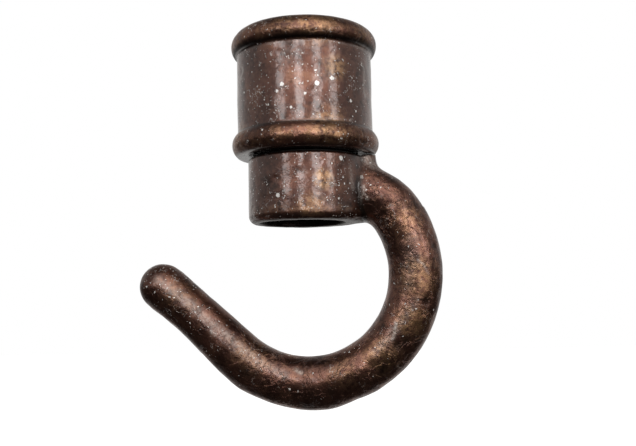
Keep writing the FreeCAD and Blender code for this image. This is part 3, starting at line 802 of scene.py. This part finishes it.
def antique_bronze(name, chip_places):
    """Lacquered dark bronze: brown metal under a glossy clear coat, rubbed to gold in places, flecked, with
    painted shade, painted highlights and a painted reflection.
    """
    s = Shader(name)
    grime_and_shade = s.add("ShaderNodeAttribute", attribute_name="grime_and_shade").outputs["Fac"]
    rub_and_highlight = s.add("ShaderNodeAttribute", attribute_name="rub_and_highlight").outputs["Fac"]
    relief = s.add("ShaderNodeAttribute", attribute_name="relief").outputs["Fac"]
    film_and_highlight = s.add("ShaderNodeAttribute", attribute_name="film_and_highlight").outputs["Fac"]
    centred = s.add("ShaderNodeVectorMath", operation="SUBTRACT")
    s.link(s.noise_colour(0.4, 2.0), centred.inputs[0])
    centred.inputs[1].default_value = (0.5, 0.5, 0.5)
    warped, torn = (s.shifted(centred.outputs["Vector"], reach) for reach in (0.5, 0.8))

    patch = s.noise(6.5, 4.0, 0.6, warp=0.6)
    fine = s.noise(1.0, 3.0, 0.6)
    grain = s.noise(0.28, 3.0, 0.7)
    crust = s.noise(4.2, 6.0, 0.62, warp=0.8)
    plates = s.between(crust, 0.485, 0.535)
    edge = s.between(s.math("ABSOLUTE", s.math("SUBTRACT", crust, 0.5)), 0.0, 0.011, 1.0, 0.0)
    edge = s.math("MULTIPLY", edge, s.between(s.noise(5.0, 2.0), 0.52, 0.6))

    smooth_brown = s.mix(s.between(patch, 0.35, 0.68), (0.065, 0.026, 0.018), (0.155, 0.062, 0.041))
    rough_brown = s.mix(s.between(patch, 0.35, 0.68), (0.088, 0.038, 0.029), (0.21, 0.093, 0.065))
    base = s.mix(relief, smooth_brown, rough_brown)
    light = s.mix(relief, (0.2, 0.088, 0.057), (0.34, 0.18, 0.115))
    base = s.mix(s.between(fine, 0.42, 0.72, 0.0, 0.42), base, light)
    # Golden metal where rubbed through, and as painted highlights.
    gold_share = s.math("MULTIPLY_ADD", s.between(patch, 0.55, 0.75), 0.15, rub_and_highlight)
    gold = s.math("MULTIPLY", gold_share, s.between(fine, 0.3, 0.62))
    base = s.mix(gold, base, (0.43, 0.25, 0.125))
    soot_and_shade = s.between(s.noise(2.4, 4.0, 0.62), 0.53, 0.7, 0.0, 0.6)
    soot_and_shade = s.math("MAXIMUM", soot_and_shade, s.math("MULTIPLY", s.between(fine, 0.34, 0.47, 0.55, 0.0), rub_and_highlight))
    soot_and_shade = s.math("MAXIMUM", soot_and_shade, s.math("MULTIPLY", edge, s.math("MULTIPLY", relief, 0.8)))
    # Grime and painted shade darken the base towards black.
    soot_and_shade = s.math("MAXIMUM", soot_and_shade, s.math("MULTIPLY", grime_and_shade, 0.92))
    base = s.mix(soot_and_shade, base, (0.014, 0.009, 0.007))

    crowd = s.between(s.noise(7.0, 2.0), 0.4, 0.62, 0.25, 1.0)
    crowd = s.math("MULTIPLY", crowd, s.math("MULTIPLY_ADD", relief, -1.02, 1.3))
    small = s.math("MAXIMUM", specks(s, torn, 1.0, 0.165, s.math("MULTIPLY", crowd, 0.6)),
                   specks(s, torn, 0.5, 0.24, s.math("MULTIPLY", crowd, 0.5)))
    curl = s.noise(1.6, 2.0, 0.5, warped)
    curl = s.between(s.math("ABSOLUTE", s.math("SUBTRACT", curl, 0.5)), 0.0, 0.014, 1.0, 0.0)
    curled = s.noise(3.2, 2.0, 0.5, s.stretched((1, 1, 1), (1, 0, 2)))
    curl = s.math("MULTIPLY", curl, s.between(curled, 0.57, 0.6))
    curl = s.math("MULTIPLY", curl, s.math("MULTIPLY_ADD", relief, -0.4, 0.75))
    fleck = s.math("MAXIMUM", small, curl)
    fleck = s.math("MAXIMUM", fleck, chips(s, warped, chip_places))
    # Pale films and scars, with painted highlights and a painted reflection among them.
    pale = s.math("MULTIPLY", film_and_highlight, s.between(s.noise(0.45, 4.0, 0.65), 0.32, 0.6, 0.15, 1.0))
    base = s.mix(pale, base, (0.46, 0.4, 0.36))
    # Flecks fade where grime and painted shade lie.
    clear_of_grime_and_shade = s.math("SUBTRACT", 1.0, grime_and_shade)
    fleck = s.math("MULTIPLY", fleck, s.math("MAXIMUM", clear_of_grime_and_shade, 0.25))
    base = s.mix(fleck, base, (0.8, 0.77, 0.74))
    s.fill(s.bsdf.inputs["Base Color"], base)
    s.fill(s.bsdf.inputs["Metallic"], s.math("MULTIPLY_ADD", s.math("MAXIMUM", fleck, pale), -0.6, 0.92))
    rough = s.math("MULTIPLY_ADD", relief, -0.09, s.between(grain, 0.25, 0.8, 0.32, 0.45))
    s.fill(s.bsdf.inputs["Roughness"], s.math("MULTIPLY_ADD", soot_and_shade, 0.15, rough))
    s.fill(s.bsdf.inputs["Coat Weight"], s.between(relief, 0.25, 0.6, 1.0, 0.22))
    s.bsdf.inputs["Coat Roughness"].default_value = 0.12
    s.bsdf.inputs["Coat IOR"].default_value = 1.55
    lumps = s.math("MULTIPLY", s.noise(2.4, 2.0, 0.5), s.math("MULTIPLY_ADD", relief, 0.7, 0.3))
    lumpy = s.bump(lumps, 0.13)
    crusty = s.bump(s.math("MULTIPLY", plates, relief), 0.05, lumpy)
    knobs = s.math("MULTIPLY", s.noise(0.9, 3.0, 0.6), s.math("MULTIPLY_ADD", relief, 0.85, 0.15))
    knobbed = s.bump(knobs, 0.026, crusty)
    pits = s.between(s.cells(0.7), 0.04, 0.3)
    pitted = s.bump(s.math("MULTIPLY", pits, s.math("MULTIPLY_ADD", relief, 0.8, 0.2)), 0.02, knobbed)
    coat = s.bump(fleck, 0.03, s.bump(grain, 0.005, pitted))
    s.fill(s.bsdf.inputs["Coat Normal"], coat)
    s.fill(s.bsdf.inputs["Normal"], s.bump(grain, 0.014, coat))
    return s.material


def turned_metal(name, dark, light, roughness, metallic=1.0):
    """Plain machined metal with fine marks round the axis and a little staining."""
    s = Shader(name)
    rings = s.noise(0.25, 2.0, 0.5, s.stretched((0.15, 0.15, 1)))
    stain = s.noise(1.8, 4.0, 0.6)
    base = s.mix(s.between(stain, 0.35, 0.7), dark, light)
    s.fill(s.bsdf.inputs["Base Color"], base)
    s.bsdf.inputs["Metallic"].default_value = metallic
    s.fill(s.bsdf.inputs["Roughness"], s.between(stain, 0.3, 0.7, roughness, roughness + 0.15))
    s.fill(s.bsdf.inputs["Normal"], s.bump(rings, 0.008, s.bump(s.noise(0.7), 0.01)))
    return s.material


def dress(piece, material):
    piece.data.materials.clear()
    piece.data.materials.append(material)


# ---------------------------------------------------------------------------------------------------------
# Camera, light and stage
# ---------------------------------------------------------------------------------------------------------
CAMERA_DISTANCE = 0.1602
CAMERA_LENS = 45.36
AZIMUTH, PITCH, ROLL = (math.radians(a) for a in (-5.24, 4.99, 1.2))
AIM = (0.00199, 0.01024)


def view_axes():
    """The camera's right, forward and up directions in the row frame."""
    c, s = math.cos, math.sin
    turn = np.array([[c(AZIMUTH), -s(AZIMUTH), 0], [s(AZIMUTH), c(AZIMUTH), 0], [0, 0, 1]])
    tilt = np.array([[1, 0, 0], [0, c(PITCH), s(PITCH)], [0, -s(PITCH), c(PITCH)]])
    roll = np.array([[c(ROLL), 0, -s(ROLL)], [0, 1, 0], [s(ROLL), 0, c(ROLL)]])
    return roll @ tilt @ turn


def make_camera():
    right, forward, up = view_axes()
    centre = np.array([0, 0, BEND_Z * MM])
    place = centre + right * AIM[0] + up * AIM[1] - forward * CAMERA_DISTANCE
    data = bpy.data.cameras.new("camera")
    data.sensor_width = 36.0
    data.lens = CAMERA_LENS
    data.clip_start = 0.005
    data.clip_end = 50
    camera = bpy.data.objects.new("camera", data)
    bpy.context.scene.collection.objects.link(camera)
    matrix = Matrix.Identity(4)
    for row in range(3):
        matrix[row][0], matrix[row][1], matrix[row][2], matrix[row][3] = (
            right[row], up[row], -forward[row], place[row]
        )
    camera.matrix_world = matrix
    bpy.context.scene.camera = camera


def area_light(name, place, target, width, height, power, color=(1, 1, 1)):
    data = bpy.data.lights.new(name, "AREA")
    data.shape = "RECTANGLE"
    data.size, data.size_y = width, height
    data.energy = power
    data.color = color
    light = bpy.data.objects.new(name, data)
    bpy.context.scene.collection.objects.link(light)
    light.location = place
    light.rotation_euler = (Vector(target) - Vector(place)).to_track_quat("-Z", "Y").to_euler()
    light.visible_camera = False


def softbox(name, azimuth, elevation, wide, high, radiance, color=(1, 1, 1), distance=0.55):
    """A soft light seen from the object at azimuth and elevation, wide by high degrees across."""
    azimuth, elevation = math.radians(azimuth), math.radians(elevation)
    flat = math.cos(elevation)
    away = Vector((math.sin(azimuth) * flat, -math.cos(azimuth) * flat, math.sin(elevation)))
    size_x = 2 * distance * math.tan(math.radians(wide / 2))
    size_y = 2 * distance * math.tan(math.radians(high / 2))
    middle = Vector((0, 0, -0.02))
    power = radiance * math.pi * size_x * size_y
    area_light(name, middle + away * distance, middle, size_x, size_y, power, color)


def make_lights():
    softbox("strip_left", -33.5, 12.5, 12, 14, 4.2)
    softbox("strip_middle", -2.8, 12.5, 12, 14, 6.4)
    softbox("strip_right", 26.7, 12.5, 13, 14, 5.5)
    softbox("strip_far_right", 53.8, 12.5, 10, 14, 4.2)
    softbox("window", 8, 44, 74, 46, 1.3, (1.0, 0.96, 0.92))
    softbox("window_middle", 8, 33, 56, 18, 0.9, (1.0, 0.97, 0.94), 0.5)
    softbox("low_window", 38, -2, 46, 14, 1.3, (1.0, 0.95, 0.9))


def make_world():
    """White to the camera. In reflections it is dark below, dim in front and white behind the object."""
    world = bpy.data.worlds.new("studio")
    bpy.context.scene.world = world
    world.use_nodes = True
    tree = world.node_tree
    tree.nodes.clear()

    def add(kind, **settings):
        node = tree.nodes.new(kind)
        for key, setting in settings.items():
            setattr(node, key, setting)
        return node

    def ramp(value, low, high, to_low, to_high):
        node = add("ShaderNodeMapRange", interpolation_type="SMOOTHSTEP")
        tree.links.new(value, node.inputs["Value"])
        for key, number in zip(("From Min", "From Max", "To Min", "To Max"), (low, high, to_low, to_high)):
            node.inputs[key].default_value = number
        return node.outputs["Result"]

    def maths(operation, a, b):
        node = add("ShaderNodeMath", operation=operation)
        for socket, thing in zip(node.inputs, (a, b)):
            if isinstance(thing, (int, float)):
                socket.default_value = thing
            else:
                tree.links.new(thing, socket)
        return node.outputs[0]

    split = add("ShaderNodeSeparateXYZ")
    tree.links.new(add("ShaderNodeTexCoord").outputs["Generated"], split.inputs["Vector"])
    behind = ramp(split.outputs["Y"], 0.36, 0.85, 0.0, 0.63)
    level = ramp(split.outputs["Z"], -0.5, 0.55, 1.0, 0.12)
    panel = maths("MULTIPLY", behind, level)
    rise = ramp(split.outputs["Z"], -0.03, 0.15, 0.0, 0.34)
    sky = maths("MULTIPLY", rise, ramp(split.outputs["Z"], 0.5, 0.85, 1.0, 0.22))
    front = ramp(split.outputs["Z"], -0.12, 0.1, 0.03, 0.07)
    glow = maths("ADD", maths("ADD", panel, sky), front)
    room = add("ShaderNodeBackground")
    tree.links.new(glow, room.inputs["Strength"])
    room.inputs["Color"].default_value = (1, 0.985, 0.965, 1)
    paper = add("ShaderNodeBackground")
    paper.inputs["Color"].default_value = (1, 1, 1, 1)
    paper.inputs["Strength"].default_value = 1.0
    choice = add("ShaderNodeMixShader")
    tree.links.new(add("ShaderNodeLightPath").outputs["Is Camera Ray"], choice.inputs["Fac"])
    tree.links.new(room.outputs[0], choice.inputs[1])
    tree.links.new(paper.outputs[0], choice.inputs[2])
    tree.links.new(choice.outputs[0], add("ShaderNodeOutputWorld").inputs["Surface"])


def make_floor():
    size, drop = 6.0, 0.5
    mesh = bpy.data.meshes.new("floor")
    corners = [(-size, -size, -drop), (size, -size, -drop), (size, size, -drop), (-size, size, -drop)]
    mesh.from_pydata(corners, [], [(0, 1, 2, 3)])
    floor = bpy.data.objects.new("floor", mesh)
    bpy.context.scene.collection.objects.link(floor)
    material = bpy.data.materials.new("pale_floor")
    material.use_nodes = True
    bsdf = material.node_tree.nodes["Principled BSDF"]
    bsdf.inputs["Base Color"].default_value = (0.9, 0.9, 0.9, 1)
    bsdf.inputs["Roughness"].default_value = 0.8
    bsdf.inputs["Emission Color"].default_value = (1, 1, 1, 1)
    bsdf.inputs["Emission Strength"].default_value = 0.93
    mesh.materials.append(material)
    floor.visible_glossy = False
    floor.visible_diffuse = False


make_camera()
make_world()
make_lights()
make_floor()
bpy.context.scene.view_settings.view_transform = "Standard"

dress(make_socket(), antique_bronze("socket_bronze", SOCKET_CHIPS))
dress(make_hook(), antique_bronze("hook_bronze", HOOK_CHIPS))

steel = turned_metal("oiled_steel", (0.2, 0.19, 0.18), (0.42, 0.4, 0.38), 0.28)
zinc = turned_metal("dull_zinc", (0.14, 0.135, 0.125), (0.28, 0.27, 0.25), 0.42)
brass = turned_metal("turned_brass", (0.45, 0.3, 0.12), (0.7, 0.5, 0.24), 0.3)
fibre = turned_metal("black_fibre", (0.012, 0.011, 0.01), (0.03, 0.028, 0.026), 0.6, 0.0)
dress(make_bolt(), steel)
dress(make_nut(), zinc)
dress(make_washer("washer_thrust", "thrust_washer", 0.15, SEED + 50), brass)
dress(make_washer("washer_spacer", "spacer_washer", 0.1, SEED + 51), fibre)
dress(make_washer("washer_plain", "plain_washer", 0.2, SEED + 52), zinc)
dress(frame["nodes"]["spring_washer"], steel)
